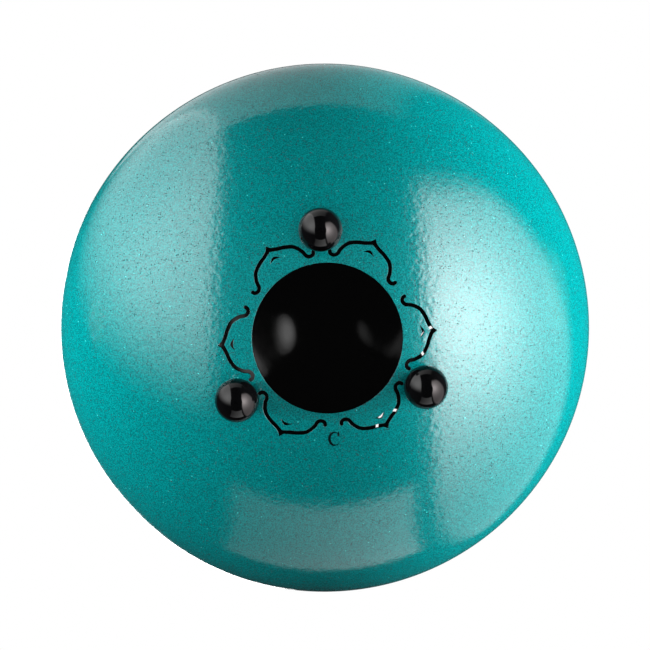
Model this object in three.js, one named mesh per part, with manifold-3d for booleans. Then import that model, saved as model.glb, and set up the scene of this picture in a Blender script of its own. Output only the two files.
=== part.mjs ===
// A steel tongue drum: two pressed half shells welded at the rim, standing on three ball feet.
// Millimetres, +Z up. The playing side faces +Z, the underside with the sound port faces -Z,
// and z = 0 is the surface that the feet stand on. The drum's axis is the Z axis.

import * as THREE from 'three';
import { mergeVertices } from 'three/addons/utils/BufferGeometryUtils.js';
import Module from 'manifold-3d';

const wasm = await Module();
wasm.setup();

// ---- Driving dimensions ----

const clearance = 0.3; // gap between neighbouring pieces

// Body: each half is half an oblate spheroid of sheet steel
const drumRadius = 160;
const shellHeight = 83;
const wall = 2;
const weldWidth = 2.4; // bead between the two rims, ground flush

// Raised centre of the playing side
const domeRadius = 54;
const domeHeight = 3;

// Sound port and the lotus cut round it
const portRadius = 43;
const petalCount = 6;
const petalSlotWidth = 2.1;
const petalTipRadius = 62.7;
const petalTipBarb = 1.3; // half width of the sharp tip where it leaves the slot
// One side of a petal as [radius, degrees from the petal's axis], from its tip to its curled end
const petalSide = [
  [60.1, 0],
  [58.2, 4.4],
  [57.1, 8.6],
  [55.2, 13.6],
  [51.5, 17.5],
  [48.5, 19.3],
  [47.5, 21.8],
  [48.3, 24.1],
  [49.8, 24.6],
];
// Leaf vein: a small crescent cut inside each petal
const veinEndRadius = 53.2;
const veinEndAngle = 3.9;
const veinOuterRadius = 55.4;
const veinInnerRadius = 53.9;

// Tongues: one per note of a two-octave major scale, in semitones above the lowest note.
// A tongue's pitch goes with one over its length squared.
const scaleSteps = [0, 2, 4, 5, 7, 9, 11, 12, 14, 16, 17, 19, 21, 23, 24];
const longestTongue = 74;
const lowestTongueAzimuth = 105;
const tongueSlotWidth = 1.8;
// The low notes reach far in, and the high notes sit in the gaps between them.
// Widths at the tip and at the root are shares of the tongue's length.
const innerTongueCount = 8;
const innerTongue = { rootRadius: 128, tipShare: 0.38, rootShare: 0.52 };
const outerTongue = { rootRadius: 133, tipShare: 0.46, rootShare: 0.6 };

// Feet: ball knobs screwed on from inside the drum
const footCount = 3;
const footHoleRadius = 59.4; // from the drum's axis to the hole, on the outer face
const ballRadius = 12.5;
const ballSeatRadius = 6; // flat that the shell's side of the ball ends in
const standFlatRadius = 2.5; // flat that the ball stands on
const gasketThickness = 1;
const insertRadius = 4.5;
const insertLength = 12;
const insertFloor = 1;
const screwRadius = 3;
const screwLength = 16;
const screwHeadRadius = 5.25;
const screwHeadHeight = 3.3;
const screwSocketRadius = 2.31;
const screwSocketDepth = 2;
const washerRadius = 6.2;
const washerThickness = 1.6;

// Facets and steps along curves
const shellFacets = 64;
const shellSteps = 12;
const smallFacets = 20;
const ballRings = 12;
const stepsPerPetalSide = 11;
const stepsPerArc = 7;
const stepsPerEnd = 3;

// ---- Solids ----

// A geometry with shared corners and no empty triangles
function welded(geometry) {
  geometry.deleteAttribute('normal');
  geometry.deleteAttribute('uv');
  const merged = mergeVertices(geometry);
  const index = merged.index.array;
  const kept = [];
  for (let i = 0; i < index.length; i += 3) {
    const [a, b, c] = [index[i], index[i + 1], index[i + 2]];
    if (a !== b && b !== c && c !== a) kept.push(a, b, c);
  }
  merged.setIndex(kept);
  return merged;
}

function toSolid(geometry) {
  const closed = welded(geometry);
  return new wasm.Manifold(new wasm.Mesh({
    numProp: 3,
    vertProperties: new Float32Array(closed.attributes.position.array),
    triVerts: new Uint32Array(closed.index.array),
  }));
}

function toGeometry(solid) {
  const mesh = solid.getMesh();
  const geometry = new THREE.BufferGeometry();
  geometry.setAttribute('position', new THREE.BufferAttribute(mesh.vertProperties, 3));
  geometry.setIndex(new THREE.BufferAttribute(mesh.triVerts, 1));
  geometry.computeVertexNormals();
  return geometry;
}

// Turns a profile of [radius, height] pairs about the Z axis.
// A profile that doesn't start and end on the axis is closed into a ring.
function revolve(profile, facets = smallFacets) {
  const points = profile.map(([radius, height]) => new THREE.Vector2(radius, height));
  if (THREE.ShapeUtils.isClockWise(points)) points.reverse();
  if (points[0].x > 0 || points.at(-1).x > 0) points.push(points[0].clone());
  return welded(new THREE.LatheGeometry(points, facets).rotateX(Math.PI / 2));
}

// A plane outline pushed through the heights from low to high
function prism(outline, low, high) {
  const shape = new THREE.Shape(outline);
  const geometry = new THREE.ExtrudeGeometry(shape, { depth: high - low, bevelEnabled: false });
  return toSolid(geometry.translate(0, 0, low));
}

// ---- Plane outlines ----

function polar(radius, degrees) {
  const angle = THREE.MathUtils.degToRad(degrees);
  return new THREE.Vector2(radius * Math.cos(angle), radius * Math.sin(angle));
}

function turned(points, degrees) {
  const centre = new THREE.Vector2();
  const angle = THREE.MathUtils.degToRad(degrees);
  return points.map((point) => point.clone().rotateAround(centre, angle));
}

// A slot of even width along a line of points, with round ends
function slotOutline(line, width) {
  const headings = line.slice(1).map((point, i) => point.clone().sub(line[i]).angle());
  const left = [];
  const right = [];
  line.forEach((point, i) => {
    const before = headings[Math.max(i - 1, 0)];
    const after = headings[Math.min(i, headings.length - 1)];
    const bend = Math.atan2(Math.sin(after - before), Math.cos(after - before)) / 2;
    const across = before + bend + Math.PI / 2;
    const reach = width / 2 / Math.cos(bend);
    const offset = new THREE.Vector2(reach * Math.cos(across), reach * Math.sin(across));
    left.push(point.clone().add(offset));
    right.push(point.clone().sub(offset));
  });
  const lastEnd = roundEnd(line.at(-1), headings.at(-1), width / 2);
  const firstEnd = roundEnd(line[0], headings[0] + Math.PI, width / 2);
  return [...right, ...lastEnd, ...left.reverse(), ...firstEnd];
}

// The half circle that closes a slot, without its two end points
function roundEnd(centre, heading, radius) {
  const points = [];
  for (let i = 1; i < stepsPerEnd; i += 1) {
    const angle = heading - Math.PI / 2 + (Math.PI * i) / stepsPerEnd;
    points.push(new THREE.Vector2(Math.cos(angle), Math.sin(angle)).multiplyScalar(radius).add(centre));
  }
  return points;
}

// A petal's slot runs from one curled end over the tip to the other, pointing along +X
function petalLine() {
  const curve = new THREE.SplineCurve(petalSide.map(([radius, degrees]) => polar(radius, degrees)));
  const side = curve.getSpacedPoints(stepsPerPetalSide);
  const otherSide = side.slice(1).map((point) => new THREE.Vector2(point.x, -point.y));
  return [...otherSide.reverse(), ...side];
}

function petalBarb() {
  const tip = new THREE.Vector2(petalTipRadius, 0);
  const root = petalSide[0][0];
  return [tip, new THREE.Vector2(root, petalTipBarb), new THREE.Vector2(root, -petalTipBarb)];
}

function veinOutline() {
  const start = polar(veinEndRadius, -veinEndAngle);
  const end = polar(veinEndRadius, veinEndAngle);
  const outer = new THREE.SplineCurve([start, new THREE.Vector2(veinOuterRadius, 0), end]);
  const inner = new THREE.SplineCurve([end, new THREE.Vector2(veinInnerRadius, 0), start]);
  return [...outer.getPoints(stepsPerArc).slice(0, -1), ...inner.getPoints(stepsPerArc).slice(0, -1)];
}

// The slot that frees a tongue, open towards its root, for a tongue that points from +X to the axis
function tongueLine({ tipRadius, rootRadius, tipWidth, rootWidth }) {
  const shoulder = tipRadius + tipWidth / 2;
  const path = new THREE.Path();
  path.moveTo(rootRadius, rootWidth / 2);
  path.lineTo(shoulder, tipWidth / 2);
  path.absarc(shoulder, 0, tipWidth / 2, Math.PI / 2, Math.PI * 1.5, false);
  path.lineTo(rootRadius, -rootWidth / 2);
  return path.getPoints(stepsPerArc).filter((point, i, all) => i === 0 || !point.equals(all[i - 1]));
}

// ---- Shells ----

// Outer face at an angle from the pole: radius, height above the rim, and the unit normal
function shellStation(angle, rise) {
  const radius = drumRadius * Math.sin(angle);
  const height = shellHeight * Math.cos(angle) + rise(radius);
  const normal = new THREE.Vector2(Math.sin(angle) / drumRadius, Math.cos(angle) / shellHeight);
  return { radius, height, normal: normal.normalize() };
}

function domeRise(radius) {
  const share = Math.min(radius / domeRadius, 1);
  return domeHeight * (1 - share ** 2) ** 2;
}

// A wall of even thickness from an inner radius out to the weld at the rim
function shellProfile(innerRadius, rise) {
  const first = Math.asin(innerRadius / drumRadius);
  const last = Math.acos((weldWidth / 2 + clearance) / shellHeight);
  const outer = [];
  const inner = [];
  for (let i = 0; i <= shellSteps; i += 1) {
    const station = shellStation(first + ((last - first) * i) / shellSteps, rise);
    outer.push([station.radius, station.height]);
    inner.push([
      station.radius - wall * station.normal.x,
      Math.max(station.height - wall * station.normal.y, weldWidth / 2 + clearance),
    ]);
  }
  return [...outer, ...inner.reverse()];
}

function topShell() {
  let shell = toSolid(revolve(shellProfile(0, domeRise), shellFacets));
  for (const tongue of tongues()) {
    const line = turned(tongueLine(tongue), tongue.azimuth);
    shell = shell.subtract(prism(slotOutline(line, tongueSlotWidth), 0, shellHeight * 2));
  }
  return toGeometry(shell);
}

// The scale climbs alternately on either side of the lowest tongue
function tongues() {
  const sector = 360 / innerTongueCount;
  return scaleSteps.map((step, i) => {
    const inner = i < innerTongueCount;
    const place = inner ? i : i - innerTongueCount;
    const sectorsAway = inner ? Math.ceil(place / 2) : Math.floor(place / 2) + 0.5;
    const side = place % 2 ? 1 : -1;
    const length = longestTongue * 2 ** (-step / 24);
    const { rootRadius, tipShare, rootShare } = inner ? innerTongue : outerTongue;
    return {
      azimuth: lowestTongueAzimuth + side * sectorsAway * sector,
      tipRadius: rootRadius - length,
      rootRadius,
      tipWidth: length * tipShare,
      rootWidth: length * rootShare,
    };
  });
}

function bottomShell() {
  const profile = shellProfile(portRadius, () => 0).map(([radius, height]) => [radius, -height]);
  let shell = toSolid(revolve(profile, shellFacets));
  const low = -shellHeight - wall;
  const high = -shellHeight / 2;
  for (let i = 0; i < petalCount; i += 1) {
    const degrees = (360 / petalCount) * i;
    const slot = prism(slotOutline(turned(petalLine(), degrees), petalSlotWidth), low, high);
    shell = shell.subtract(slot.add(prism(turned(petalBarb(), degrees), low, high)));
    shell = shell.subtract(prism(turned(veinOutline(), degrees), low, high));
  }
  for (let i = 0; i < footCount; i += 1) {
    shell = shell.subtract(toSolid(footHole().applyMatrix4(footPlace(i))));
  }
  return toGeometry(shell);
}

function rimWeld() {
  const half = weldWidth / 2;
  return revolve([
    [drumRadius - wall, -half],
    [drumRadius, -half],
    [drumRadius, half],
    [drumRadius - wall, half],
  ], shellFacets);
}

// ---- Feet ----
// A foot is built on its own axis: z = 0 is the shell's outer face, and +z points into the drum

const footAngle = Math.asin(footHoleRadius / drumRadius);
const footStation = shellStation(footAngle, () => 0);
const footTilt = Math.atan2(footStation.normal.x, footStation.normal.y);
const seatHeight = -(clearance * 2 + gasketThickness);
const ballCentre = seatHeight - Math.sqrt(ballRadius ** 2 - ballSeatRadius ** 2);
const standDrop = Math.sqrt(ballRadius ** 2 - standFlatRadius ** 2);
const headSeat = wall + washerThickness + clearance * 2;
// Height of the drum's rim above the surface that the feet stand on
const rimHeight = footStation.height - ballCentre * Math.cos(footTilt) + standDrop;

// Places foot i on the underside, relative to the centre of the rim
function footPlace(i) {
  const azimuth = Math.PI / 2 + (2 * Math.PI * i) / footCount;
  const place = new THREE.Matrix4().makeRotationZ(azimuth);
  place.multiply(new THREE.Matrix4().makeTranslation(footStation.radius, 0, -footStation.height));
  return place.multiply(new THREE.Matrix4().makeRotationY(-footTilt));
}

function footHole() {
  const radius = screwRadius + clearance;
  return new THREE.CylinderGeometry(radius, radius, wall * 4, smallFacets).rotateX(Math.PI / 2);
}

function footBall() {
  const sphere = new THREE.SphereGeometry(ballRadius, smallFacets, ballRings);
  let ball = toSolid(sphere.rotateX(Math.PI / 2).translate(0, 0, ballCentre));
  const seatCut = new THREE.CylinderGeometry(ballRadius, ballRadius, ballRadius, smallFacets);
  ball = ball.subtract(toSolid(seatCut.rotateX(Math.PI / 2).translate(0, 0, seatHeight + ballRadius / 2)));
  const boreRadius = insertRadius + clearance;
  const boreDepth = insertLength + clearance;
  const bore = new THREE.CylinderGeometry(boreRadius, boreRadius, boreDepth * 2, smallFacets);
  ball = ball.subtract(toSolid(bore.rotateX(Math.PI / 2).translate(0, 0, seatHeight)));
  return toGeometry(ball.subtract(standCut()));
}

// Everything below the surface that the foot stands on
function standCut() {
  const block = new THREE.BoxGeometry(ballRadius * 4, ballRadius * 4, ballRadius);
  block.translate(0, 0, -standDrop - ballRadius / 2).rotateY(footTilt);
  return toSolid(block.translate(0, 0, ballCentre));
}

function footInsert() {
  const bore = screwRadius + clearance;
  const floor = seatHeight - insertLength + insertFloor;
  return revolve([
    [0, floor],
    [bore, floor],
    [bore, seatHeight],
    [insertRadius, seatHeight],
    [insertRadius, seatHeight - insertLength],
    [0, seatHeight - insertLength],
  ]);
}

function footGasket() {
  const bore = screwRadius + clearance;
  return ring(bore, ballSeatRadius, -clearance - gasketThickness, -clearance);
}

function footWasher() {
  const low = wall + clearance;
  return ring(screwRadius + clearance, washerRadius, low, low + washerThickness);
}

function ring(innerRadius, outerRadius, low, high) {
  return revolve([[innerRadius, low], [outerRadius, low], [outerRadius, high], [innerRadius, high]]);
}

// Button head screw with a hexagon socket
function footScrew() {
  const top = headSeat + screwHeadHeight;
  const body = toSolid(revolve([
    [0, headSeat - screwLength],
    [screwRadius, headSeat - screwLength],
    [screwRadius, headSeat],
    [screwHeadRadius, headSeat],
    [screwHeadRadius * 0.9, headSeat + screwHeadHeight * 0.55],
    [screwHeadRadius * 0.6, top],
    [0, top],
  ]));
  const hexagon = new THREE.CylinderGeometry(screwSocketRadius, screwSocketRadius, screwSocketDepth * 2, 6);
  return toGeometry(body.subtract(toSolid(hexagon.rotateX(Math.PI / 2).translate(0, 0, top))));
}

// ---- Assembly ----

const finishes = {
  coat: { color: 0x0c8f8d, roughness: 0.35, metalness: 0.6 },
  ball: { color: 0x08080a, roughness: 0.08, metalness: 0 },
  brass: { color: 0xb08d3c, roughness: 0.35, metalness: 1 },
  steel: { color: 0xa9acb0, roughness: 0.35, metalness: 1 },
  rubber: { color: 0x151515, roughness: 0.9, metalness: 0 },
};

function piece(name, geometry, finish) {
  const mesh = new THREE.Mesh(geometry, new THREE.MeshStandardMaterial(finishes[finish]));
  mesh.name = name;
  return mesh;
}

function foot(i) {
  const group = new THREE.Group();
  group.applyMatrix4(footPlace(i));
  group.add(piece(`foot_ball_${i + 1}`, footBall(), 'ball'));
  group.add(piece(`foot_insert_${i + 1}`, footInsert(), 'brass'));
  group.add(piece(`foot_gasket_${i + 1}`, footGasket(), 'rubber'));
  group.add(piece(`foot_washer_${i + 1}`, footWasher(), 'steel'));
  group.add(piece(`foot_screw_${i + 1}`, footScrew(), 'steel'));
  return group;
}

const drum = new THREE.Group();
drum.position.z = rimHeight;
drum.add(piece('top_shell', topShell(), 'coat'));
drum.add(piece('bottom_shell', bottomShell(), 'coat'));
drum.add(piece('rim_weld', rimWeld(), 'coat'));
for (let i = 0; i < footCount; i += 1) drum.add(foot(i));

export default drum;
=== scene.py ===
"""A steel tongue drum on three ball feet, seen from straight below.

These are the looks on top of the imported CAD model. Metres, +Z up: the drum's axis is the Z axis,
and its feet stand on z = 0.
"""
import math

import bmesh
import bpy
import numpy as np
from mathutils import Matrix, Vector
from mathutils.geometry import delaunay_2d_cdt


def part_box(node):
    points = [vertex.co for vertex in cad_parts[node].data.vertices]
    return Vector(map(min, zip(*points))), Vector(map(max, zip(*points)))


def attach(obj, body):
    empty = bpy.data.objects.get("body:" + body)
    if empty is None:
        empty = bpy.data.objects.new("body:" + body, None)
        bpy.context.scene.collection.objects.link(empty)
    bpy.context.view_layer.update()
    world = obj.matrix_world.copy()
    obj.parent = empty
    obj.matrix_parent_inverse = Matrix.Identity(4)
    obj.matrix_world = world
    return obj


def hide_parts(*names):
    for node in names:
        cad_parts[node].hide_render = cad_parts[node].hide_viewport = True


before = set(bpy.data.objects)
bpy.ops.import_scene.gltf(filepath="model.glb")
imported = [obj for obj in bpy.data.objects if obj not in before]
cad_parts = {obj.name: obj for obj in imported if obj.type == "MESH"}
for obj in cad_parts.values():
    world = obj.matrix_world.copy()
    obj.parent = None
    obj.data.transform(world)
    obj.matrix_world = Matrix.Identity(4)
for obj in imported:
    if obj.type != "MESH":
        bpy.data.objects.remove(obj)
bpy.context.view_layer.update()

MM = 0.001
TINY = 1e-9  # less than any real length here

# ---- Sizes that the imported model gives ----

RIM_LOW, RIM_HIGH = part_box("rim_weld")
DRUM_RADIUS = RIM_HIGH.x
RIM_HEIGHT = (RIM_LOW.z + RIM_HIGH.z) / 2
HALF_WELD = (RIM_HIGH.z - RIM_LOW.z) / 2
DOME_HEIGHT = 3 * MM  # of the playing side's raised centre
SHELL_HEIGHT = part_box("top_shell")[1].z - RIM_HEIGHT - DOME_HEIGHT

# ---- Sizes of the pressed and cut steel ----

WALL = 2 * MM
DOME_RADIUS = 54 * MM
PORT_RADIUS = 43 * MM
EDGE = 0.2 * MM  # rounding on every cut edge

PETAL_COUNT = 6
PETAL_SLOT_WIDTH = 2.1 * MM
PETAL_TIP_RADIUS = 62.7 * MM
PETAL_BARB_REACH = 2.6 * MM
# One side of a petal as (radius in mm, degrees from the petal's axis), from its tip to its curled end
PETAL_SIDE = [
    (60.1, 0), (58.2, 4.4), (57.1, 8.6), (55.2, 13.6), (51.5, 17.5),
    (48.5, 19.3), (47.5, 21.8), (48.3, 24.1), (49.8, 24.6),
]
VEIN_END_RADIUS = 53.2 * MM
VEIN_END_ANGLE = 3.9
VEIN_OUTER_RADIUS = 55.4 * MM
VEIN_INNER_RADIUS = 53.9 * MM

# Semitones of each tongue over the lowest one: two octaves of a major scale
SCALE_STEPS = [0, 2, 4, 5, 7, 9, 11, 12, 14, 16, 17, 19, 21, 23, 24]
INNER_TONGUES = 8  # the lowest ones, evenly round the drum. The rest stand between them
LONGEST_TONGUE = 74 * MM
STEPS_TO_HALF_LENGTH = 24  # semitones over which a tongue's length halves
LOWEST_TONGUE_AZIMUTH = 105
TONGUE_SLOT_WIDTH = 1.8 * MM
# Radius that a tongue starts from, and the widths of its tip and root as shares of its length
INNER_TONGUE = {"root": 128 * MM, "tip_share": 0.38, "root_share": 0.52}
OUTER_TONGUE = {"root": 133 * MM, "tip_share": 0.46, "root_share": 0.6}

FOOT_COUNT = 3
FOOT_HOLE_PLACE = 59.4 * MM  # from the drum's axis
FOOT_HOLE_RADIUS = 3.3 * MM
LETTER_PLACE = 58 * MM  # from the drum's axis

# ---- Sizes of the feet ----
# Heights are on a foot's own axis, from the shell's outer face and into the drum.

BALL_RADIUS = 12.5 * MM
BALL_SEAT_RADIUS = 6 * MM
SEAT_HEIGHT = -1.6 * MM
SEAT_CHAMFER = 0.15 * MM
STAND_BORDER = 0.2 * MM  # half width of the soft border round the flat that a ball stands on
BORE_RADIUS = 4.55 * MM
BORE_CLEARANCE = 0.1 * MM  # under the insert
GASKET_CLEARANCE = 0.02 * MM  # to the ball and to the shell
GASKET_ROUNDING = 0.35 * MM

INSERT_RADIUS = 4.5 * MM
INSERT_LENGTH = 12 * MM
INSERT_FLOOR = 1 * MM
THREAD_BORE_RADIUS = FOOT_HOLE_RADIUS - 0.5 * MM
THREAD_LEAD_IN = 0.6 * MM
GROOVE_RADIUS = INSERT_RADIUS - 0.5 * MM
KNURL_DEPTH = 0.25 * MM
KNURL_BANDS = [(0.5 * MM, 4.8 * MM), (6.8 * MM, 11.2 * MM)]  # from and to, under the seat
KNURL_SLOPE = 0.3 * MM

SCREW_RADIUS = 3 * MM
SCREW_LENGTH = 16 * MM
THREAD_PITCH = 1 * MM
THREAD_DEPTH = 0.55 * MM
THREAD_RINGS_PER_TURN = 8
HEAD_SEAT = 3.75 * MM
HEAD_RADIUS = 5.25 * MM
HEAD_HEIGHT = 3.3 * MM
SOCKET_RADIUS = 2.31 * MM
SOCKET_DEPTH = 2 * MM
WASHER_RADIUS = 6.2 * MM
WASHER_FACES = (WALL + 0.1 * MM, WALL + 1.7 * MM)  # their heights
WASHER_ROUNDING = 0.2 * MM

# ---- Fineness of the meshes ----

MESH_STEP = 4 * MM  # spacing of the shells' points away from the cuts
RIM_POINTS = 256
PORT_POINTS = 224
HOLE_POINTS = 32
PETAL_STEP = 0.6 * MM
LEG_STEP = 3 * MM  # along a tongue's straight sides
TIP_POINTS = 25  # round a tongue's tip
ROUND_POINTS = 96  # round the feet's pieces
BALL_RINGS = 84
SHARP_ANGLE = 35  # a foot's piece is shaded flat where its faces meet at more than this


# ---- Plane outlines: arrays of (x, y) rows ----

def polar(radius, degrees):
    angle = np.radians(degrees)
    return np.stack([radius * np.cos(angle), radius * np.sin(angle)], axis=-1)


def turned(points, degrees):
    cos, sin = math.cos(math.radians(degrees)), math.sin(math.radians(degrees))
    return points @ np.array([[cos, sin], [-sin, cos]])


def spline(points, steps):
    """Catmull-Rom curve through the points, with this many steps from each point to the next."""
    ends = [2 * points[0] - points[1], *points, 2 * points[-1] - points[-2]]
    rows = []
    for before, start, end, after in zip(ends, ends[1:], ends[2:], ends[3:]):
        for t in np.arange(steps) / steps:
            rows.append(0.5 * (
                2 * start + (end - before) * t
                + (2 * before - 5 * start + 4 * end - after) * t ** 2
                + (3 * start - before - 3 * end + after) * t ** 3
            ))
    return np.array([*rows, points[-1]])


def evenly(line, step):
    """The same line with its points about one step apart."""
    lengths = np.concatenate([[0], np.cumsum(np.linalg.norm(np.diff(line, axis=0), axis=1))])
    stations = np.linspace(0, lengths[-1], max(2, round(lengths[-1] / step) + 1))
    return np.stack([np.interp(stations, lengths, line[:, i]) for i in (0, 1)], axis=1)


def slot_outline(line, width, end_steps=8):
    """Closed outline of a slot of even width along a line, with round ends."""
    steps = np.diff(line, axis=0)
    headings = np.unwrap(np.arctan2(steps[:, 1], steps[:, 0]))
    before = np.concatenate([headings[:1], headings])
    after = np.concatenate([headings, headings[-1:]])
    across = (before + after) / 2 + math.pi / 2
    reach = width / 2 / np.cos((after - before) / 2)
    offset = np.stack([np.cos(across), np.sin(across)], axis=1) * reach[:, None]
    last_end = round_end(line[-1], headings[-1], width / 2, end_steps)
    first_end = round_end(line[0], headings[0] + math.pi, width / 2, end_steps)
    return np.concatenate([line - offset, last_end, (line + offset)[::-1], first_end])


def round_end(centre, heading, radius, steps):
    angles = heading - math.pi / 2 + math.pi * np.arange(1, steps) / steps
    return centre + radius * np.stack([np.cos(angles), np.sin(angles)], axis=1)


def petal_outline():
    """The slot of the petal that points along +X, with the barb on its tip."""
    side = spline([polar(radius * MM, degrees) for radius, degrees in PETAL_SIDE], steps=6)
    side = np.delete(evenly(side, PETAL_STEP), 1, axis=0)  # leaves room for the corner at the tip
    line = np.concatenate([(side * (1, -1))[:0:-1], side])
    outline = slot_outline(line, PETAL_SLOT_WIDTH)
    outer = outline[:len(line)]
    run = np.concatenate([[0], np.cumsum(np.linalg.norm(np.diff(outer, axis=0), axis=1))])
    tip = len(side) - 1
    from_tip = np.clip(1 - np.abs(run - run[tip]) / PETAL_BARB_REACH, 0, 1)
    outer[:, 0] += (PETAL_TIP_RADIUS - outer[tip, 0]) * from_tip ** 2
    return outline


def vein_outline():
    """A thin crescent between two arcs that share their ends."""
    ends = polar(VEIN_END_RADIUS, np.array([-VEIN_END_ANGLE, VEIN_END_ANGLE]))
    outer = spline([ends[0], np.array([VEIN_OUTER_RADIUS, 0]), ends[1]], steps=8)
    inner = spline([ends[1], np.array([VEIN_INNER_RADIUS, 0]), ends[0]], steps=8)
    return np.concatenate([outer[:-1], inner[:-1]])


def circle(centre, radius, points):
    return centre + polar(radius, 360 * np.arange(points) / points)


def tongue_outline(step, place, kind, inner):
    """The slot round one tongue, open towards the tongue's root.

    Its place counts from the lowest tongue of its kind, and the places climb alternately to the left
    and right of that one.
    """
    length = LONGEST_TONGUE * 2 ** (-step / STEPS_TO_HALF_LENGTH)
    half_tip = length * kind["tip_share"] / 2
    half_root = length * kind["root_share"] / 2
    shoulder = kind["root"] - length + half_tip
    arc = polar(half_tip, np.linspace(90, 270, TIP_POINTS)) + (shoulder, 0)
    leg = evenly(np.array([[kind["root"], half_root], arc[0]]), LEG_STEP)
    line = np.concatenate([leg[:-1], arc, (leg * (1, -1))[:-1][::-1]])
    sectors_away = math.ceil(place / 2) if inner else place // 2 + 0.5
    side = 1 if place % 2 else -1
    azimuth = LOWEST_TONGUE_AZIMUTH + side * sectors_away * 360 / INNER_TONGUES
    return turned(slot_outline(line, TONGUE_SLOT_WIDTH), azimuth)


def top_cuts():
    cuts = []
    for i, step in enumerate(SCALE_STEPS):
        inner = i < INNER_TONGUES
        kind = INNER_TONGUE if inner else OUTER_TONGUE
        cuts.append(tongue_outline(step, i % INNER_TONGUES, kind, inner))
    return cuts


def foot_azimuth(i):
    return 90 + 360 / FOOT_COUNT * i


def bottom_cuts():
    cuts = [circle(np.zeros(2), PORT_RADIUS, PORT_POINTS)]
    for i in range(PETAL_COUNT):
        cuts.append(turned(petal_outline(), 360 / PETAL_COUNT * i))
        cuts.append(turned(vein_outline(), 360 / PETAL_COUNT * i))
    for i in range(FOOT_COUNT):
        centre = polar(FOOT_HOLE_PLACE, foot_azimuth(i))
        cuts.append(circle(centre, FOOT_HOLE_RADIUS, HOLE_POINTS))
    return cuts


# ---- Half shells ----
# A shell's points are kept on a flat map: the azimuth is the real one, and the distance from the
# centre is the angle from the pole, where radius = DRUM_RADIUS * sin(angle).

def to_map(plan):
    radius = np.linalg.norm(plan, axis=1, keepdims=True)
    return plan * np.arcsin(radius / DRUM_RADIUS) / np.maximum(radius, TINY)


def dome_rise(radius):
    """Height of the raised centre over the spheroid, and its slope."""
    share = np.minimum(radius / DOME_RADIUS, 1)
    rise = DOME_HEIGHT * (1 - share ** 2) ** 2
    return rise, -4 * DOME_HEIGHT * share * (1 - share ** 2) / DOME_RADIUS


class Shell:
    """One pressed half: side is 1 for the domed top and -1 for the bottom."""

    def __init__(self, side):
        self.side = side

    def normals(self, points):
        angle = np.linalg.norm(points, axis=1)
        rise_slope = dome_rise(DRUM_RADIUS * np.sin(angle))[1] if self.side > 0 else 0
        outwards = SHELL_HEIGHT * np.sin(angle) - rise_slope * DRUM_RADIUS * np.cos(angle)
        away = DRUM_RADIUS * np.cos(angle)
        unit = points / np.maximum(angle, TINY)[:, None]
        rows = np.column_stack([unit * outwards[:, None], self.side * away])
        return rows / np.linalg.norm(rows, axis=1, keepdims=True)

    def place(self, points, depth=0.0):
        """Points of the map, this deep under the outer face."""
        angle = np.linalg.norm(points, axis=1)
        radius = DRUM_RADIUS * np.sin(angle)
        rise = dome_rise(radius)[0] if self.side > 0 else 0
        unit = points / np.maximum(angle, TINY)[:, None]
        height = RIM_HEIGHT + self.side * (SHELL_HEIGHT * np.cos(angle) + rise)
        return np.column_stack([unit * radius[:, None], height]) - depth * self.normals(points)


def runs_ccw(outline):
    """Whether a closed outline runs counter-clockwise."""
    ahead = np.roll(outline, -1, axis=0)
    return bool(np.sum(outline[:, 0] * ahead[:, 1] - outline[:, 1] * ahead[:, 0]) > 0)


def outward(outline):
    """Unit vectors that point away from a closed outline's inside, at its corners."""
    edges = np.roll(outline, -1, axis=0) - outline
    across = np.column_stack([edges[:, 1], -edges[:, 0]]) * (1 if runs_ccw(outline) else -1)
    across /= np.linalg.norm(across, axis=1, keepdims=True)
    both = across + np.roll(across, 1, axis=0)
    return both / np.maximum(np.linalg.norm(both, axis=1, keepdims=True), 0.5)


def inside(points, outline):
    """Which points lie inside a closed outline."""
    result = np.zeros(len(points), bool)
    for (x1, y1), (x2, y2) in zip(outline, np.roll(outline, -1, axis=0)):
        crosses = (y1 > points[:, 1]) != (y2 > points[:, 1])
        if crosses.any():
            at = x1 + (points[:, 1] - y1) / (y2 - y1) * (x2 - x1)
            result ^= crosses & (points[:, 0] < at)
    return result


def filler_points(first_angle, last_angle, outlines):
    """Rings of points over the map, clear of the outlines and of what is cut away."""
    rows = []
    mean_radius = (DRUM_RADIUS + SHELL_HEIGHT) / 2
    for angle in np.arange(first_angle, last_angle, MESH_STEP / mean_radius)[1:]:
        count = max(6, round(2 * math.pi * DRUM_RADIUS * math.sin(angle) / MESH_STEP))
        shift = (len(rows) % 2) * 180 / count
        rows.append(polar(angle, 360 * np.arange(count) / count + shift))
    points = np.concatenate([np.zeros((1, 2)), *rows] if first_angle == 0 else rows)
    least_gap = 0.3 * MESH_STEP / DRUM_RADIUS
    for outline in outlines:
        gap = np.linalg.norm(points[:, None] - outline[None], axis=2).min(axis=1)
        points = points[(gap > least_gap) & ~inside(points, outline)]
    return points


def triangulate(points, loops, holes):
    """Triangles between the points that keep to the loops of point numbers and leave the holes open."""
    edges = [edge for loop in loops for edge in zip(loop, np.roll(loop, -1))]
    made = delaunay_2d_cdt([Vector(point) for point in points], edges, [], 0, TINY)
    origin = [found[0] for found in made[3]]
    faces = np.array([[origin[i] for i in face] for face in made[2]])
    centres = points[faces].mean(axis=1)
    keep = np.ones(len(faces), bool)
    for hole in holes:
        keep &= ~inside(centres, hole)
    return faces[keep]


# How a cut edge runs from the outer face to the inner one: share of EDGE outside the cut,
# depth, and how far the normal has turned from the outer face's towards the cut, in degrees
EDGE_STEPS = [
    (1, 0, 0),
    (0.29, 0.29 * EDGE, 45),
    (0, EDGE, 90),
    (0, WALL - EDGE, 90),
    (0.29, WALL - 0.29 * EDGE, 135),
    (1, WALL, 180),
]
COATED_STEPS = 1  # how many of these steps the coat covers before the black paint begins
COATED, DARK = 0, 1  # a shell's material slots


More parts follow.
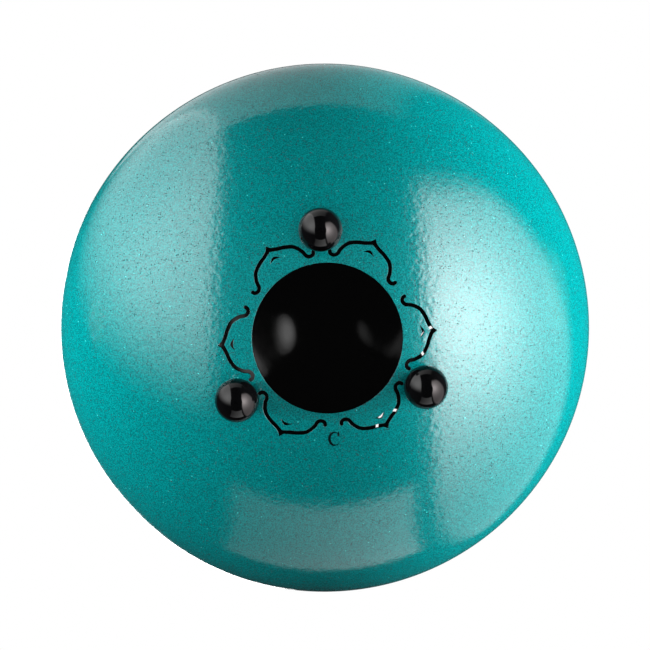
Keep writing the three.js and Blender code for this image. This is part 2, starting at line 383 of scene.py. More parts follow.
def cut_rings(shell, cut):
    """The rings of one cut edge, as (places, normals) from the outer face to the inner one."""
    away = outward(cut)
    rings = []
    for share, depth, turn in EDGE_STEPS:
        points = to_map(cut + away * EDGE * share)
        normals = shell.normals(points)
        into_cut = np.column_stack([-away, np.zeros(len(cut))])
        into_cut -= normals * np.sum(into_cut * normals, axis=1, keepdims=True)
        into_cut /= np.linalg.norm(into_cut, axis=1, keepdims=True)
        cos, sin = math.cos(math.radians(turn)), math.sin(math.radians(turn))
        rings.append((shell.place(points, depth), normals * cos + into_cut * sin))
    return rings


def strip(loop_a, loop_b, flip):
    """Quads between two closed loops of point numbers."""
    next_a, next_b = np.roll(loop_a, -1), np.roll(loop_b, -1)
    quads = np.column_stack([loop_a, next_a, next_b, loop_b])
    return quads[:, ::-1] if flip else quads


def shell_layout(side, cuts):
    """One face of a half shell on the map, as (points, loops, triangles).

    The loops are the point numbers of each cut's outline in turn, and then of the rim.
    """
    last_angle = math.acos(HALF_WELD / SHELL_HEIGHT)
    first_angle = 0 if side > 0 else math.asin(PORT_RADIUS / DRUM_RADIUS)
    outlines = [to_map(cut + outward(cut) * EDGE) for cut in cuts]
    rim = polar(last_angle, 360 * np.arange(RIM_POINTS) / RIM_POINTS)
    filler = filler_points(first_angle, last_angle, outlines)
    last_filler = last_angle - 0.5 * MESH_STEP / DRUM_RADIUS
    filler = filler[np.linalg.norm(filler, axis=1) < last_filler]
    points = np.concatenate([*outlines, rim, filler])
    starts = np.cumsum([0, *[len(outline) for outline in outlines], len(rim)])
    loops = [np.arange(start, end) for start, end in zip(starts, starts[1:])]
    return points, loops, triangulate(points, loops, outlines)


class ShellMesh:
    """A half shell's mesh as it grows: an outer and an inner face, and the walls between them."""

    def __init__(self, shell, points, triangles):
        outer = triangles if shell.side > 0 else triangles[:, ::-1]
        self.shell = shell
        self.face_points = len(points)
        self.count = 2 * len(points)
        self.places = [shell.place(points), shell.place(points, WALL)]
        self.normals = [shell.normals(points), -shell.normals(points)]
        self.faces = [*outer.tolist(), *(outer[:, ::-1] + len(points)).tolist()]
        self.slots = [COATED] * len(outer) + [DARK] * len(outer)

    def add_ring(self, places, normals):
        self.places.append(places)
        self.normals.append(normals)
        self.count += len(places)
        return np.arange(self.count - len(places), self.count)

    def add_strip(self, loop_a, loop_b, flip, slot):
        quads = strip(loop_a, loop_b, flip).tolist()
        self.faces += quads
        self.slots += [slot] * len(quads)

    def add_cut_edge(self, cut, loop):
        """The rounded wall of one cut, from its loop on the outer face to the one on the inner face."""
        rings = cut_rings(self.shell, cut)
        between = [self.add_ring(places, normals) for places, normals in rings[1:-1]]
        loops = [loop, *between, loop + self.face_points]
        flip = runs_ccw(cut) != (self.shell.side > 0)
        for i, (loop_a, loop_b) in enumerate(zip(loops, loops[1:])):
            self.add_strip(loop_a, loop_b, flip, COATED if i < COATED_STEPS else DARK)

    def add_rim(self, loop):
        self.add_strip(loop, loop + self.face_points, self.shell.side > 0, DARK)


def add_shell(name, side, cuts, materials):
    """A half shell of even wall with its cuts, coated outside and dark inside."""
    points, loops, triangles = shell_layout(side, cuts)
    made = ShellMesh(Shell(side), points, triangles)
    for cut, loop in zip(cuts, loops):
        made.add_cut_edge(cut, loop)
    made.add_rim(loops[-1])
    places = np.concatenate(made.places)
    return new_mesh(name, places, made.faces, materials, made.slots, np.concatenate(made.normals))


# ---- Meshes ----

def new_mesh(name, places, faces, materials, slots=None, normals=None):
    mesh = bpy.data.meshes.new(name)
    mesh.from_pydata(np.asarray(places).tolist(), [], faces)
    for material in materials:
        mesh.materials.append(material)
    mesh.polygons.foreach_set("use_smooth", [True] * len(mesh.polygons))
    if slots is not None:
        mesh.polygons.foreach_set("material_index", slots)
    if normals is not None:
        mesh.normals_split_custom_set_from_vertices(np.asarray(normals).tolist())
    mesh.update()
    piece = bpy.data.objects.new(name, mesh)
    bpy.context.scene.collection.objects.link(piece)
    return piece


def rounded(corners, steps=5):
    """A line through (radius, height, rounding) corners, as rows of (radius, height)."""
    rows = []
    for before, corner, after in zip(corners[:1] + corners, corners, corners[1:] + corners[-1:]):
        at, rounding = np.array(corner[:2]), corner[2]
        if rounding == 0:
            rows.append(at)
            continue
        back = np.array(before[:2]) - at
        ahead = np.array(after[:2]) - at
        start = at + back / np.linalg.norm(back) * rounding
        end = at + ahead / np.linalg.norm(ahead) * rounding
        for t in np.linspace(0, 1, steps):
            rows.append((1 - t) ** 2 * start + 2 * t * (1 - t) * at + t ** 2 * end)
    return np.array(rows)


def ring(radii, height):
    """Points round the Z axis at one height. Radii is one number or one for each point."""
    count = ROUND_POINTS if np.ndim(radii) == 0 else len(radii)
    flat = polar(np.broadcast_to(radii, count), 360 * np.arange(count) / count)
    return np.column_stack([flat, np.full(count, height)])


def skin(loops):
    """Faces between each loop of point numbers and the next, with triangles round a pole."""
    faces = []
    for loop_a, loop_b in zip(loops, loops[1:]):
        for i in range(len(loop_a)):
            j = (i + 1) % len(loop_a)
            corners = list(dict.fromkeys([loop_a[i], loop_a[j], loop_b[j], loop_b[i]]))
            if len(corners) > 2:
                faces.append(corners)
    return faces


def loft(name, rings, material, closed=False):
    """Skin through rings of equally many points. A ring whose points all meet is a pole."""
    places = []
    loops = []
    for points in rings:
        first = len(places)
        if np.ptp(points, axis=0).max() < TINY:
            places.append(points[0])
            loops.append([first] * len(points))
        else:
            places.extend(points)
            loops.append(range(first, len(places)))
    piece = new_mesh(name, places, skin(loops + loops[:1] if closed else loops), [material])
    made = bmesh.new()
    made.from_mesh(piece.data)
    bmesh.ops.recalc_face_normals(made, faces=made.faces)
    made.to_mesh(piece.data)
    made.free()
    piece.data.set_sharp_from_angle(angle=math.radians(SHARP_ANGLE))
    return piece


# ---- Materials ----

class Tree:
    """Short names for building a node tree."""

    def __init__(self, tree):
        self.tree = tree

    def add(self, kind, inputs=None, **settings):
        node = self.tree.nodes.new(kind)
        for key, value in settings.items():
            setattr(node, key, value)
        for key, value in (inputs or {}).items():
            self.feed(node.inputs[key], value)
        return node

    def feed(self, socket, value):
        if isinstance(value, bpy.types.NodeSocket):
            self.tree.links.new(value, socket)
        else:
            socket.default_value = value

    def math(self, operation, a, b):
        return self.add("ShaderNodeMath", {0: a, 1: b}, operation=operation).outputs[0]


class Nodes(Tree):
    """A material's node tree, with one Principled shader."""

    def __init__(self, name):
        self.material = bpy.data.materials.new(name)
        self.material.use_nodes = True
        super().__init__(self.material.node_tree)
        self.shader = self.tree.nodes["Principled BSDF"]
        self.coordinates = self.add("ShaderNodeTexCoord").outputs["Object"]

    def shade(self, **values):
        for key, value in values.items():
            self.feed(self.shader.inputs[key.replace("_", " ")], value)
        return self.material

    def noise(self, scale, detail=2.0):
        inputs = {"Vector": self.coordinates, "Scale": scale, "Detail": detail}
        return self.add("ShaderNodeTexNoise", inputs).outputs["Fac"]

    def cells(self, scale):
        """Distance to the nearest point of a random grid, and a random number for each point."""
        node = self.add("ShaderNodeTexVoronoi", {"Vector": self.coordinates, "Scale": scale})
        random = self.add("ShaderNodeSeparateColor", {"Color": node.outputs["Color"]})
        return node.outputs["Distance"], random.outputs[0]

    def ramp(self, value, low, high, to_low=0.0, to_high=1.0):
        inputs = {"Value": value, "From Min": low, "From Max": high, "To Min": to_low, "To Max": to_high}
        return self.add("ShaderNodeMapRange", inputs).outputs["Result"]

    def dots(self, scale, share, size):
        """1 inside round dots at this share of a random grid's points, 0 outside them."""
        distance, random = self.cells(scale)
        reach = self.ramp(random, 1 - share, 1.0, -0.05, size)
        edge_softness = 0.06
        return self.ramp(self.math("SUBTRACT", reach, distance), 0.0, edge_softness)

    def mix(self, factor, a, b):
        """Colour a where the factor is 0, colour b where it is 1."""
        node = self.add("ShaderNodeMix", data_type="RGBA")
        self.feed(node.inputs["Factor"], factor)
        colour_a, colour_b, result = node.inputs[6], node.inputs[7], node.outputs[2]
        self.feed(colour_a, a)
        self.feed(colour_b, b)
        return result

    def bump(self, height, distance, strength):
        inputs = {"Height": height, "Distance": distance, "Strength": strength}
        return self.add("ShaderNodeBump", inputs).outputs["Normal"]


def coat_material():
    """Turquoise metallic powder coat: orange peel, dense dark grain and dull specks, with a few bright
    dots painted into its colour as flakes catching the light: painted glints.
    """
    nodes = Nodes("turquoise_powder_coat")
    base = nodes.mix(nodes.noise(14), (0.0, 0.31, 0.314, 1), (0.0, 0.35, 0.35, 1))
    grain = nodes.ramp(nodes.noise(1300), 0.38, 0.62)
    base = nodes.mix(grain, (0.0, 0.15, 0.16, 1), base)
    specks = nodes.dots(1000, share=0.5, size=0.44)
    base = nodes.mix(specks, base, (0.0, 0.05, 0.055, 1))
    # Painted glints: bright dots in the base colour where flakes would catch the light
    painted_glints = nodes.dots(800, share=0.04, size=0.36)
    base = nodes.mix(painted_glints, base, (0.05, 0.7, 0.68, 1))
    peel = nodes.bump(nodes.noise(300, detail=1), 0.17 * MM, 0.55)
    return nodes.shade(
        Base_Color=base,
        Metallic=0.05,
        Roughness=nodes.ramp(nodes.noise(90), 0.3, 0.7, 0.36, 0.42),
        Specular_IOR_Level=0.0,
        Normal=peel,
        Coat_Weight=1.0,
        Coat_Roughness=nodes.ramp(specks, 0.0, 1.0, 0.12, 1.0),
        Coat_Normal=peel,
    )


def inside_material():
    """Black paint on the inside of the shells."""
    nodes = Nodes("black_inside_paint")
    return nodes.shade(
        Base_Color=nodes.mix(nodes.noise(60), (0.0008, 0.0009, 0.001, 1), (0.0014, 0.0016, 0.0018, 1)),
        Roughness=nodes.ramp(nodes.noise(120), 0.3, 0.7, 0.05, 0.07),
        Normal=nodes.bump(nodes.noise(300), 0.01 * MM, 0.3),
    )


def ball_material():
    """Polished black phenolic with faint handling marks."""
    nodes = Nodes("black_phenolic")
    return nodes.shade(
        Base_Color=nodes.mix(nodes.noise(200), (0.0015, 0.0015, 0.0018, 1), (0.003, 0.003, 0.0035, 1)),
        Roughness=nodes.ramp(nodes.noise(500, 4), 0.4, 0.75, 0.05, 0.1),
        IOR=1.32,
        Normal=nodes.bump(nodes.noise(900), 0.004 * MM, 0.3),
    )


def ink_material():
    """Black print, a little uneven in depth and surface."""
    nodes = Nodes("black_print")
    return nodes.shade(
        Base_Color=nodes.mix(nodes.noise(900), (0.001, 0.004, 0.005, 1), (0.004, 0.012, 0.013, 1)),
        Roughness=nodes.ramp(nodes.noise(1500), 0.3, 0.7, 0.42, 0.58),
        Specular_IOR_Level=0.0,
        Normal=nodes.bump(nodes.noise(2200), 0.01 * MM, 0.3),
    )


def brass_material():
    """Turned brass, a little uneven in tone and polish."""
    nodes = Nodes("turned_brass")
    return nodes.shade(
        Base_Color=nodes.mix(nodes.noise(400, 3), (0.55, 0.36, 0.11, 1), (0.66, 0.47, 0.18, 1)),
        Metallic=1.0,
        Roughness=nodes.ramp(nodes.noise(1500, 3), 0.3, 0.7, 0.2, 0.34),
        Normal=nodes.bump(nodes.noise(2500), 0.01 * MM, 0.3),
    )


def rubber_material():
    """Matt black rubber with a fine grain."""
    nodes = Nodes("black_rubber")
    return nodes.shade(
        Base_Color=nodes.mix(nodes.noise(700, 3), (0.012, 0.012, 0.012, 1), (0.024, 0.024, 0.023, 1)),
        Roughness=nodes.ramp(nodes.noise(900), 0.3, 0.7, 0.6, 0.75),
        Normal=nodes.bump(nodes.noise(1800), 0.02 * MM, 0.5),
    )


def steel_material():
    """Zinc-plated steel with a faint cloudiness."""
    nodes = Nodes("zinc_plated_steel")
    return nodes.shade(
        Base_Color=nodes.mix(nodes.noise(250, 4), (0.5, 0.52, 0.55, 1), (0.68, 0.68, 0.66, 1)),
        Metallic=1.0,
        Roughness=nodes.ramp(nodes.noise(1200, 3), 0.3, 0.7, 0.22, 0.38),
        Normal=nodes.bump(nodes.noise(2000), 0.01 * MM, 0.3),
    )


# ---- Pieces ----

def ride(piece, node):
    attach(piece, "root")
    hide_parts(node)
    return piece


def add_shells(coat, dark):
    """Both half shells. Returns the playing one, which the port's lights need."""
    underside = add_shell("underside_shell", -1, bottom_cuts(), [coat, dark])
    ride(underside, "bottom_shell")
    playing = add_shell("playing_shell", 1, top_cuts(), [coat, dark])
    return ride(playing, "top_shell")


def add_rim_seam(coat):
    """The weld, ground flush: a low crown whose edges sink just under the shells' faces."""
    overlap = 0.15 * MM
    crown_drop = 0.12 * MM
    half = HALF_WELD + overlap
    shares = np.linspace(-1, 1, 9)
    outline = [(DRUM_RADIUS - crown_drop * share ** 2, half * share) for share in shares]
    outline += [(DRUM_RADIUS - WALL, half), (DRUM_RADIUS - WALL, -half)]
    rings = [ring(np.full(RIM_POINTS, radius), RIM_HEIGHT + height) for radius, height in outline]
    ride(loft("rim_seam", rings, coat, closed=True), "rim_weld")


def letter_outline():
    """A plain letter C, as an outline round its own centre with +X to its right."""
    outer = [(3.5 * math.cos(a), 4.2 * math.sin(a)) for a in np.radians(np.linspace(50, 318, 40))]
    inner = [(0.6 + 2.6 * math.cos(a), 3.45 * math.sin(a)) for a in np.radians(np.linspace(314, 56, 36))]
    serif = [(2.35, 1.2), (3.0, 1.2), (3.05, 4.1), (2.6, 4.1)]
    return np.array([*outer, *inner, *serif]) * MM


def add_key_letter(shell, ink):
    """The drum's key, printed under the port. Its back lies in the coat."""
    proud = 0.03 * MM
    sunk = 0.05 * MM
    outline = to_map(letter_outline() * (-1, 1) + (0, -LETTER_PLACE))
    places = np.concatenate([shell.place(outline, -proud), shell.place(outline, sunk)])
    front = np.arange(len(outline))
    back = front + len(outline)
    faces = [list(front), list(back[::-1]), *strip(front, back, flip=True).tolist()]
    ride(new_mesh("key_letter", places, faces, [ink]), "bottom_shell")


# ---- Feet ----
# Each piece is a list of rings on the foot's own axis, where 0 is the shell's outer face and + is inwards.

def foot_matrix(i):
    angle = math.asin(FOOT_HOLE_PLACE / DRUM_RADIUS)
    tilt = math.atan2(SHELL_HEIGHT * math.sin(angle), DRUM_RADIUS * math.cos(angle))
    height = RIM_HEIGHT - SHELL_HEIGHT * math.cos(angle)
    around = Matrix.Rotation(math.radians(foot_azimuth(i)), 4, "Z")
    outwards = Matrix.Translation((FOOT_HOLE_PLACE, 0, height))
    return around @ outwards @ Matrix.Rotation(-tilt, 4, "Y")


def ball_rings():
    """A ball knob from the floor of its bore, out over its seat and round to its far pole."""
    seat_angle = math.asin(BALL_SEAT_RADIUS / BALL_RADIUS)
    centre = SEAT_HEIGHT - BALL_RADIUS * math.cos(seat_angle)
    bore_floor = SEAT_HEIGHT - INSERT_LENGTH - BORE_CLEARANCE
    bore_and_seat = rounded([
        (0, bore_floor, 0),
        (BORE_RADIUS, bore_floor, 0),
        (BORE_RADIUS, SEAT_HEIGHT, 0.2 * MM),
        (BALL_SEAT_RADIUS - SEAT_CHAMFER, SEAT_HEIGHT, 0),
    ])
    rings = [ring(radius, height) for radius, height in bore_and_seat]
    for angle in np.linspace(seat_angle + SEAT_CHAMFER / BALL_RADIUS, math.pi, BALL_RINGS):
        radius = max(BALL_RADIUS * math.sin(angle), 0)
        rings.append(ring(radius, centre + BALL_RADIUS * math.cos(angle)))
    return rings


def stand_flat(piece):
    """Presses what reaches below the ground into a flat with a soft border."""
    for vertex in piece.data.vertices:
        z = vertex.co.z
        if z < -STAND_BORDER:
            vertex.co.z = 0
        elif z < STAND_BORDER:
            vertex.co.z = (z + STAND_BORDER) ** 2 / (4 * STAND_BORDER)


def insert_rings():
    """A brass insert with a threaded hole, and a straight knurl in two bands with a groove between."""
    foot = SEAT_HEIGHT - INSERT_LENGTH
    tooth = np.arange(ROUND_POINTS) % 4 < 2
    teeth = np.where(tooth, INSERT_RADIUS, INSERT_RADIUS - KNURL_DEPTH)
    rings = [
        ring(0, foot + INSERT_FLOOR),
        ring(THREAD_BORE_RADIUS, foot + INSERT_FLOOR),
        ring(THREAD_BORE_RADIUS, SEAT_HEIGHT - THREAD_LEAD_IN),
        ring(FOOT_HOLE_RADIUS, SEAT_HEIGHT),
        ring(GROOVE_RADIUS, SEAT_HEIGHT),
        ring(GROOVE_RADIUS, SEAT_HEIGHT - 0.4 * MM),
    ]
    for top, low in KNURL_BANDS:
        rings += [
            ring(GROOVE_RADIUS, SEAT_HEIGHT - top),
            ring(teeth, SEAT_HEIGHT - top - KNURL_SLOPE),
            ring(teeth, SEAT_HEIGHT - low),
            ring(GROOVE_RADIUS, SEAT_HEIGHT - low - KNURL_SLOPE),
        ]
    return [*rings, ring(GROOVE_RADIUS, foot), ring(0, foot)]


def washer_rings(bore, radius, low, high, rounding):
    """A flat ring with rounded corners, from the middle of its lower face round to there again."""
    start = ((bore + radius) / 2, low, 0)
    corners = [(radius, low), (radius, high), (bore, high), (bore, low)]
    line = rounded([start, *[(*corner, rounding) for corner in corners], start])
    return [ring(reach, height) for reach, height in line[:-1]]


def thread_rings():
    """A screw's shank from its tip to its head, with a crest that winds once round for each pitch."""
    tip = HEAD_SEAT - SCREW_LENGTH
    core = SCREW_RADIUS - THREAD_DEPTH
    turns = np.arange(ROUND_POINTS) / ROUND_POINTS
    rings = [ring(0, tip), ring(core - 0.3 * MM, tip)]
    first, last = tip + 0.5 * MM, HEAD_SEAT - 1.2 * MM
    for height in np.arange(first, last, THREAD_PITCH / THREAD_RINGS_PER_TURN):
        phase = (height / THREAD_PITCH - turns) % 1
        crest = np.clip(1.6 * (1 - np.abs(2 * phase - 1)) - 0.2, 0, 1)
        rings.append(ring(core + THREAD_DEPTH * crest, height))
    return [*rings, ring(core, HEAD_SEAT - 0.8 * MM), ring(SCREW_RADIUS, HEAD_SEAT - 0.5 * MM)]


def head_rings():
    """A domed head with a hexagon socket."""
    top = HEAD_SEAT + HEAD_HEIGHT
    head = rounded([
        (SCREW_RADIUS, HEAD_SEAT, 0),
        (HEAD_RADIUS, HEAD_SEAT, 0.2 * MM),
        (HEAD_RADIUS, HEAD_SEAT + 0.7 * MM, 0.3 * MM),
        (HEAD_RADIUS * 0.88, HEAD_SEAT + 2 * MM, 0.8 * MM),
        (HEAD_RADIUS * 0.6, top, 0.3 * MM),
        (SOCKET_RADIUS + 0.25 * MM, top, 0),
    ])
    rings = [ring(radius, height) for radius, height in head]
    half_side = math.pi / 6
    around = 2 * math.pi * np.arange(ROUND_POINTS) / ROUND_POINTS
    hexagon = SOCKET_RADIUS * math.cos(half_side) / np.cos(around % (2 * half_side) - half_side)
    rings += [ring(hexagon, top - 0.2 * MM), ring(hexagon, top - SOCKET_DEPTH)]
    return [*rings, ring(0, top - SOCKET_DEPTH - 0.5 * MM)]


def gasket_rings():
    """A rubber ring that fills the gap between the ball's seat and the shell."""
    low, high = SEAT_HEIGHT + GASKET_CLEARANCE, -GASKET_CLEARANCE
    return washer_rings(FOOT_HOLE_RADIUS, BALL_SEAT_RADIUS, low, high, GASKET_ROUNDING)


def add_foot(i, phenolic, brass, rubber, steel):
    washer = washer_rings(FOOT_HOLE_RADIUS, WASHER_RADIUS, *WASHER_FACES, WASHER_ROUNDING)
    pieces = {
        "ball": (ball_rings(), phenolic, "foot_black"),
        "insert": (insert_rings(), brass, "insert_brass"),
        "gasket": (gasket_rings(), rubber, "gasket_rubber"),
        "washer": (washer, steel, "fastener_steel"),
        "screw": ([*thread_rings(), *head_rings()], steel, "fastener_steel"),
    }
    for kind, (rings, material, slot) in pieces.items():
        piece = loft(f"{kind}_{i + 1}", rings, material)
        piece.data.transform(foot_matrix(i))
        if kind == "ball":
            stand_flat(piece)
        ride(piece, f"foot_{kind}_{i + 1}")


# ---- Camera, light and floor ----
# The photographer's view: the camera is under the drum and looks up along its axis. UP, RIGHT and
# BACK are the picture's own directions, and BACK points from the drum to the camera.

PATTERN_TURN = 3.9  # degrees that the drum's +Y is turned from the picture's up
CAMERA_ABOVE = 3.7  # degrees off the drum's axis, towards the picture's top
CAMERA_LEFT = 1.0  # degrees off the drum's axis, towards the picture's left
CAMERA_DISTANCE = 1.3
LENS = 118.8
AIM_ABOVE = 2.5 * MM
FILL_DISTANCE = 2.0  # a distant light's place only has to be outside the drum
FLOOR_HALF = 20.0

UP = Vector((*polar(1, 90 + PATTERN_TURN), 0))
BACK = Vector((0, 0, -1))
RIGHT = UP.cross(BACK)
CENTRE = Vector((0, 0, RIM_HEIGHT))


def facing(place, target, up):
    """Matrix of a camera or light at a place that looks at the target."""
    back = (place - target).normalized()
    right = up.cross(back).normalized()
    matrix = Matrix((right, back.cross(right), back)).transposed().to_4x4()
    matrix.translation = place
    return matrix


def add_camera():
    above, left = math.radians(CAMERA_ABOVE), math.radians(CAMERA_LEFT)
    away = (BACK + UP * math.tan(above) - RIGHT * math.tan(left)).normalized()
    camera = bpy.data.cameras.new("camera")
    camera.lens = LENS
    camera.clip_start = 0.01
    seen = bpy.data.objects.new("camera", camera)
    seen.matrix_world = facing(CENTRE + away * CAMERA_DISTANCE, CENTRE + UP * AIM_ABOVE, UP)
    bpy.context.scene.collection.objects.link(seen)
    bpy.context.scene.camera = seen


def add_softbox(name, direction, up, distance, width, height, radiance):
    """A rectangular light that faces the drum. Radiance is what a mirror would show of it."""
    lamp = bpy.data.lights.new(name, "AREA")
    lamp.shape = "RECTANGLE"
    lamp.size, lamp.size_y = width, height
    lamp.energy = radiance * math.pi * width * height
    box = bpy.data.objects.new(name, lamp)
    box.matrix_world = facing(CENTRE + direction.normalized() * distance, CENTRE, up)
    box.visible_camera = False
    bpy.context.scene.collection.objects.link(box)
    return box


def off_axis(towards, degrees):
    """Direction this far from the camera's, towards one side of the picture."""
    angle = math.radians(degrees)
    return BACK * math.cos(angle) + towards * math.sin(angle)


def place_fill(name, lamp, away, aim, distance):
    """Puts up a light that shades the drum's colour but shows in none of its reflections."""
    fill = bpy.data.objects.new(name, lamp)
    fill.matrix_world = facing(aim + away * distance, aim, BACK.cross(away))
    fill.visible_glossy = False
    bpy.context.scene.collection.objects.link(fill)
    return fill


def add_fill(name, towards, degrees, strength, softness):
    """A fill of even strength over the whole drum. Its softness is its width in degrees."""
    lamp = bpy.data.lights.new(name, "SUN")
    lamp.energy = strength * math.pi
    lamp.angle = math.radians(softness)
    place_fill(name, lamp, off_axis(towards.normalized(), degrees), CENTRE, FILL_DISTANCE)


def add_spot_fill(name, towards, degrees, aim, distance, cone, strength):
    """A fill that has its full strength where it is aimed and fades out to the edge of its cone."""
    lamp = bpy.data.lights.new(name, "SPOT")
    lamp.energy = strength * (2 * math.pi * distance) ** 2
    lamp.spot_size = math.radians(cone)
    lamp.spot_blend = 1.0
    lamp.shadow_soft_size = 0.15
    away = off_axis(towards.normalized(), degrees)
    place_fill(name, lamp, away, aim, distance).visible_camera = False


def add_port_light(name, towards, degrees, width, height, lean, radiance, receiver):
    """A soft-edged light that only the inside of the playing shell shows, through the port.

    It is four ellipses one inside the other, each a little nearer than the next larger one.
    """
    away = off_axis(towards.normalized(), degrees)
    lean_up = Matrix.Rotation(math.radians(lean), 3, away) @ UP
    receivers = bpy.data.collections.new(name)
    receivers.objects.link(receiver)
    shares = (0.4, 0.6, 0.8, 1.0)
    for share in shares:
        size = (width * share, height * share)
        glow = add_softbox(name, away, lean_up, 1 + 0.1 * share, *size, radiance / len(shares))
        glow.data.shape = "ELLIPSE"
        glow.light_linking.receiver_collection = receivers


def add_fills():
    left_edge = CENTRE - RIGHT * 0.13 + UP * 0.02 + BACK * 0.03
    add_fill("right_fill", RIGHT + UP * 0.1, degrees=90, strength=3.2, softness=26)
    add_spot_fill("left_fill", -RIGHT, degrees=83, aim=left_edge, distance=1.1, cone=16.5, strength=3.6)
    add_fill("front_fill", UP, degrees=0, strength=0.47, softness=50)
    add_fill("overhead_fill", UP, degrees=180, strength=1.5, softness=60)


def add_port_lights(playing_shell):
    add_port_light(
        "right_port_light", RIGHT + UP * 0.08, degrees=17.3,
        width=0.12, height=0.32, lean=10, radiance=1.8, receiver=playing_shell,
    )
    add_port_light(
        "left_port_light", UP * 0.06 - RIGHT, degrees=16.8,
        width=0.07, height=0.2, lean=6, radiance=0.3, receiver=playing_shell,
    )


def add_overhead_softbox():
    """Lights the playing side, which the photographer's camera doesn't see."""
    add_softbox(
        "overhead_softbox", direction=Vector((0.3, -0.2, 1)), up=Vector((0, 1, 0)),
        distance=1.6, width=0.7, height=0.9, radiance=5.0,
    )


class Studio(Tree):
    """The studio as the drum reflects it: soft boxes by direction, in the picture's own axes.

    x, y and z are how far a direction points to the picture's right, up, and back to the camera.
    """

    def __init__(self, tree):
        super().__init__(tree)
        self.direction = self.add("ShaderNodeTexCoord").outputs["Generated"]
        self.x, self.y, self.z = (self.along(axis) for axis in (RIGHT, UP, BACK))

    def along(self, axis):
        inputs = {0: self.direction, 1: tuple(axis)}
        return self.add("ShaderNodeVectorMath", inputs, operation="DOT_PRODUCT").outputs["Value"]

    def above(self, value, edge, softness):
        """1 where the value is over the edge, 0 where it is under, with a soft step."""
        node = self.add("ShaderNodeMapRange", {"Value": value}, interpolation_type="SMOOTHSTEP")
        node.inputs["From Min"].default_value = edge - softness / 2
        node.inputs["From Max"].default_value = edge + softness / 2
        return node.outputs["Result"]

    def below(self, value, edge, softness):
        return self.math("SUBTRACT", 1.0, self.above(value, edge, softness))

    def leaning(self, value, share, other):
        """value + share * other"""
        return self.math("ADD", value, self.math("MULTIPLY", share, other))

    def hot_spot(self, towards, degrees, far, near, narrowness):
        """Radiance that falls from far + near at a direction to about far, well away from it."""
        spread = self.math("SUBTRACT", 1.0, self.along(off_axis(towards, degrees)))
        fall = self.leaning(1.0, narrowness, spread)
        return self.math("ADD", far, self.math("DIVIDE", near, fall))

    def product(self, first, *others):
        for other in others:
            first = self.math("MULTIPLY", first, other)
        return first


def right_box(studio):
    """A tall box round the right side, brightest at the middle of its near edge."""
    return studio.product(
        studio.above(studio.leaning(studio.x, 0.05, studio.y), 0.45, 0.08),
        studio.below(studio.leaning(studio.y, -1.3, studio.z), 0.13, 0.35),
        studio.below(studio.y, 0.6, 0.2),
        studio.above(studio.z, -0.75, 0.2),
        studio.hot_spot(RIGHT, 37, 0.0, 15.8, 12),
    )


def left_box(studio):
    """A dimmer box round the left side, brightest towards the top."""
    towards = (UP * math.sin(math.radians(25)) - RIGHT * math.cos(math.radians(25))).normalized()
    return studio.product(
        studio.below(studio.x, -0.475, 0.08),
        studio.above(studio.leaning(studio.y, 0.464, studio.z), 0.18, 0.6),
        studio.above(studio.z, -0.75, 0.2),
        studio.hot_spot(towards, 50, 2.0, 3.7, 6),
    )


def top_card(studio):
    """A white card that shows along the top of the outline, dimmer towards the right."""
    return studio.product(
        studio.below(studio.z, 0.19, 0.05),
        studio.below(studio.x, 0.34, 0.15),
        studio.above(studio.x, -0.5, 0.05),
        studio.above(studio.y, 0.3, 0.1),
        studio.leaning(0.85, -1.3, studio.x),
    )


def bottom_card(studio):
    """A white card that shows near the bottom of the outline, brighter towards the right."""
    return studio.product(
        studio.below(studio.z, 0.6, 0.05),
        studio.above(studio.z, -0.12, 0.05),
        studio.below(studio.math("ABSOLUTE", studio.x, 0.0), 0.39, 0.05),
        studio.below(studio.y, -0.3, 0.1),
        studio.leaning(1.45, 2.4, studio.x),
    )


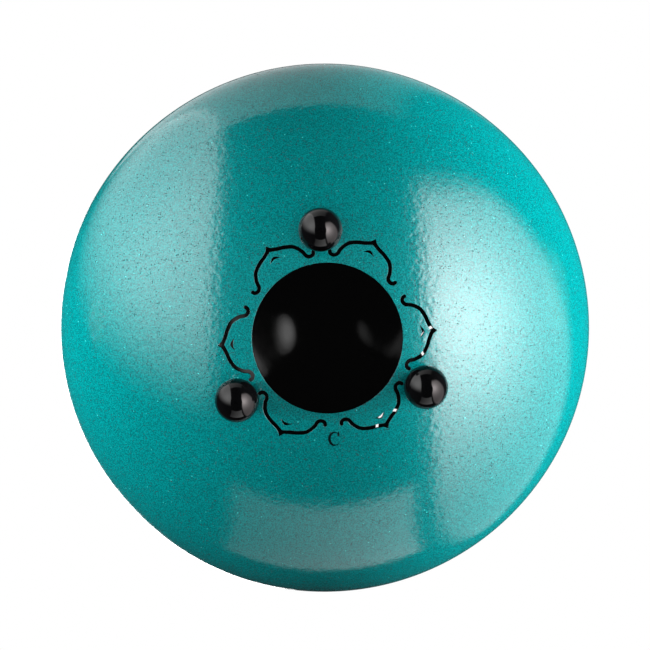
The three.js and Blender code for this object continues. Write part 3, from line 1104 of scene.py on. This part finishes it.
def add_world():
    """White to the camera. To everything else, a dim room with its soft boxes and white cards.

    The box on the right is a little warmer than the rest.
    """
    world = bpy.data.worlds.new("studio")
    world.use_nodes = True
    studio = Studio(world.node_tree)
    light = 0.03  # the room's own
    for box in (left_box, top_card, bottom_card):
        light = studio.math("ADD", light, box(studio))
    is_camera = studio.add("ShaderNodeLightPath").outputs["Is Camera Ray"]
    hidden = studio.math("SUBTRACT", 1.0, is_camera)
    neutral = studio.math("ADD", is_camera, studio.math("MULTIPLY", light, hidden))
    warm = studio.math("MULTIPLY", right_box(studio), hidden)
    glows = [
        studio.add("ShaderNodeBackground", {"Color": (1, 1, 1, 1), "Strength": neutral}).outputs[0],
        studio.add("ShaderNodeBackground", {"Color": (1, 0.9, 0.9, 1), "Strength": warm}).outputs[0],
    ]
    both = studio.add("ShaderNodeAddShader", dict(enumerate(glows)))
    studio.feed(world.node_tree.nodes["World Output"].inputs["Surface"], both.outputs[0])
    world.cycles_visibility.diffuse = False
    bpy.context.scene.world = world


def add_floor():
    """A pale sheet that is clear from below.

    The camera below looks through it, and so does everything that the drum reflects to that camera.
    Seen from above it is solid, and the drum's underside reflects it.
    """
    corners = [(x * FLOOR_HALF, y * FLOOR_HALF, 0) for x, y in ((-1, -1), (1, -1), (1, 1), (-1, 1))]
    nodes = Nodes("pale_floor")
    backfacing = nodes.add("ShaderNodeNewGeometry").outputs["Backfacing"]
    crossed = nodes.add("ShaderNodeLightPath").outputs["Transparent Depth"]
    clear = nodes.math("GREATER_THAN", nodes.math("ADD", backfacing, crossed), 0.5)
    solid = nodes.math("SUBTRACT", 1.0, clear)
    colour = nodes.mix(nodes.noise(3), (0.6, 0.6, 0.6, 1), (0.64, 0.64, 0.64, 1))
    material = nodes.shade(Base_Color=colour, Roughness=0.8, Alpha=solid)
    floor = new_mesh("floor", corners, [(0, 1, 2, 3)], [material])
    floor.visible_diffuse = False
    floor.visible_shadow = False


# ---- The scene ----

coat = coat_material()
dark = inside_material()
playing_shell = add_shells(coat, dark)
add_rim_seam(coat)
add_key_letter(Shell(-1), ink_material())
foot_materials = ball_material(), brass_material(), rubber_material(), steel_material()
for i in range(FOOT_COUNT):
    add_foot(i, *foot_materials)
add_camera()
add_fills()
add_port_lights(playing_shell)
add_overhead_softbox()
add_world()
add_floor()
bpy.context.scene.view_settings.view_transform = "Standard"
